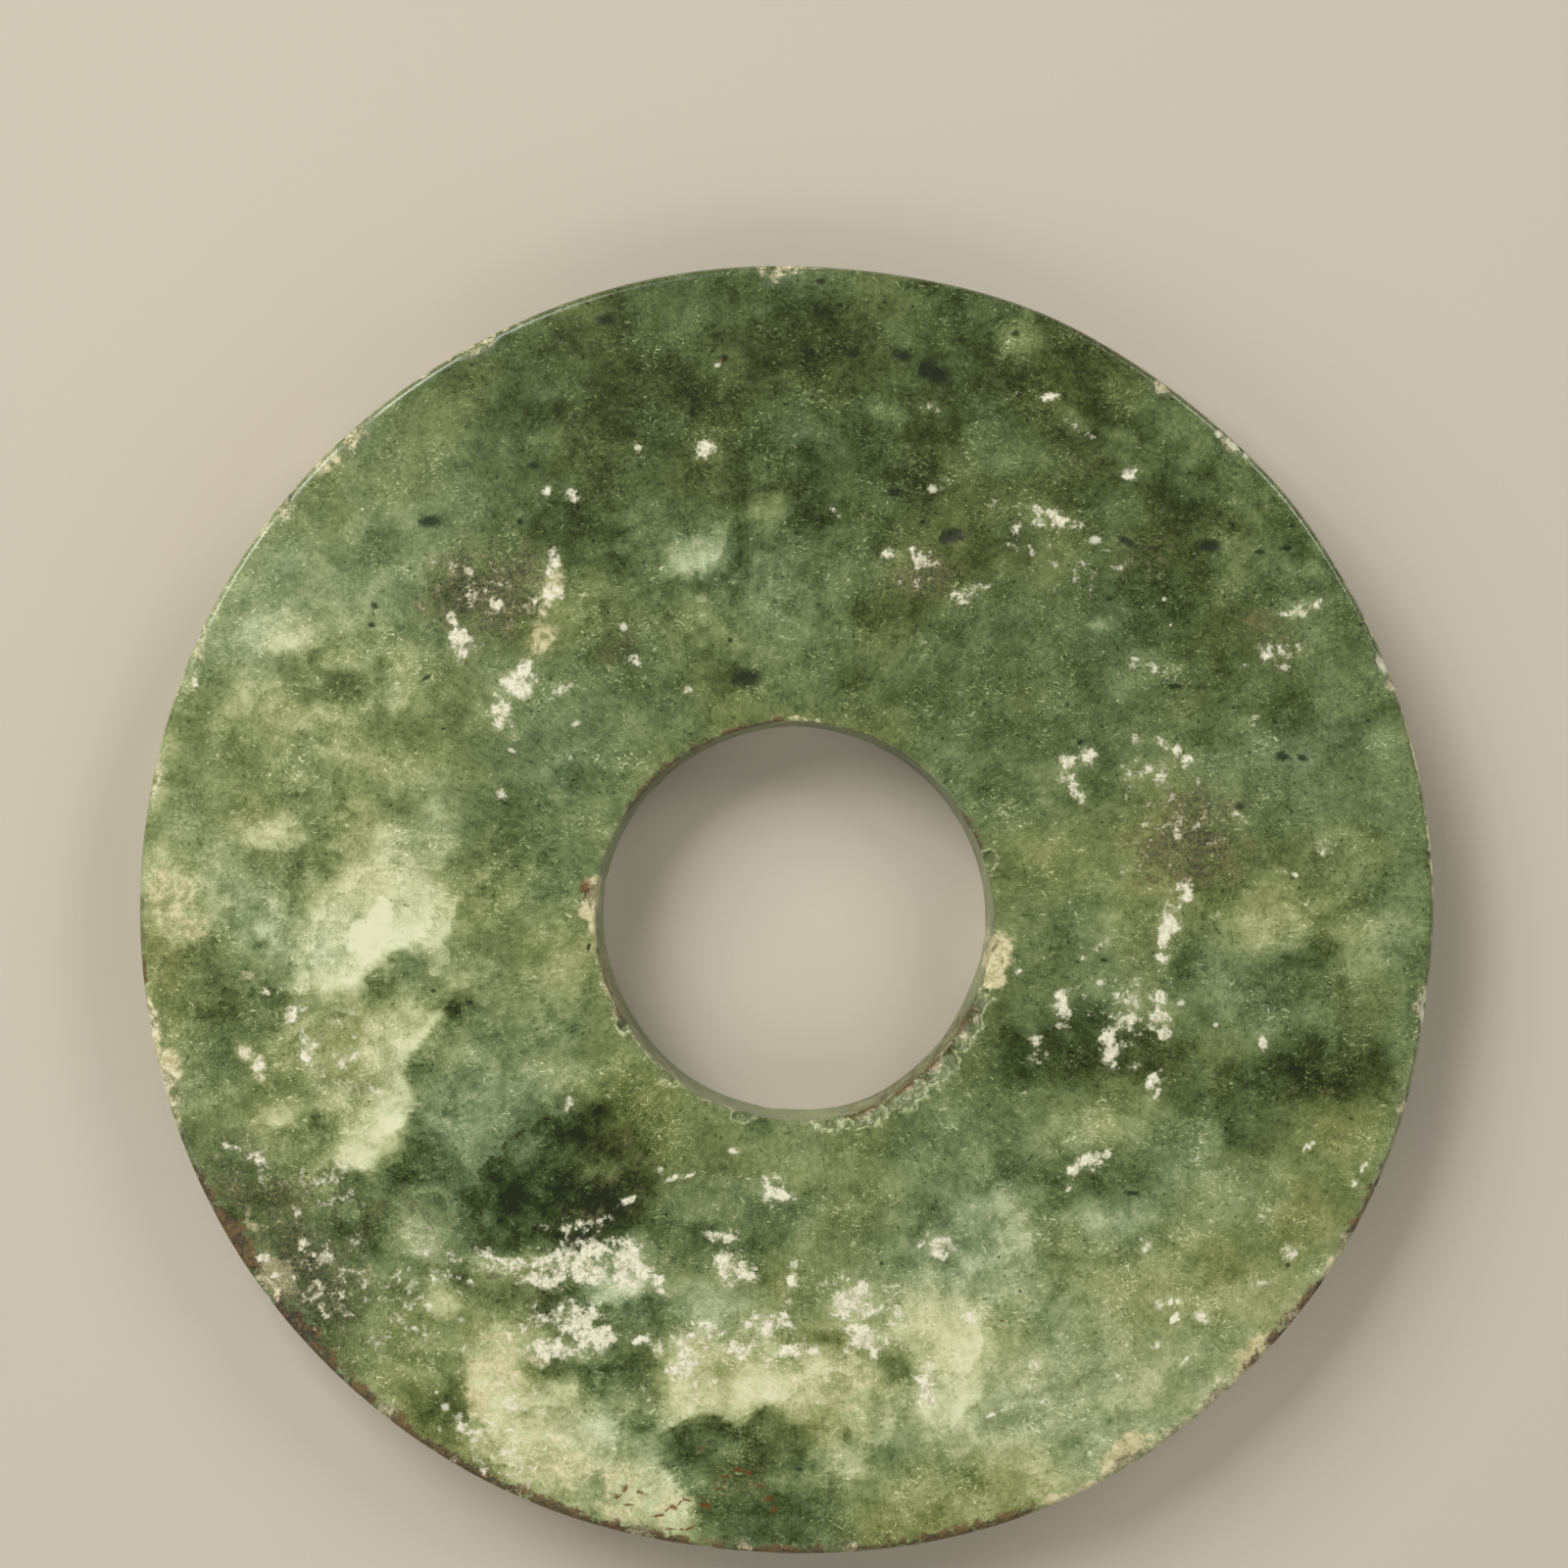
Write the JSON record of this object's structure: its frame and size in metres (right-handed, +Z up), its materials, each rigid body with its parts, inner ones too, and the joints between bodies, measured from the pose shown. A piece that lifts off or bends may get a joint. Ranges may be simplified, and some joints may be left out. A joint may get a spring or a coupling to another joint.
{
  "type": "jade bi disc",
  "caption": "Plain round disc of mottled green nephrite with a drilled hole a little off its middle, worn edges and chips; it lies flat.",
  "frame": {"origin": "on the surface that the disc lies on, under the middle of the rim's outline", "axes": "+Z up through the shown face, +X towards the right of the picture, +Y towards its top"},
  "size_m": [0.1604, 0.1594, 0.012],
  "materials": {
    "nephrite": "waxy low polish, weathered"
  },
  "bodies": {
    "root": {"bi_disc": "nephrite"}
  },
  "joints": []
}
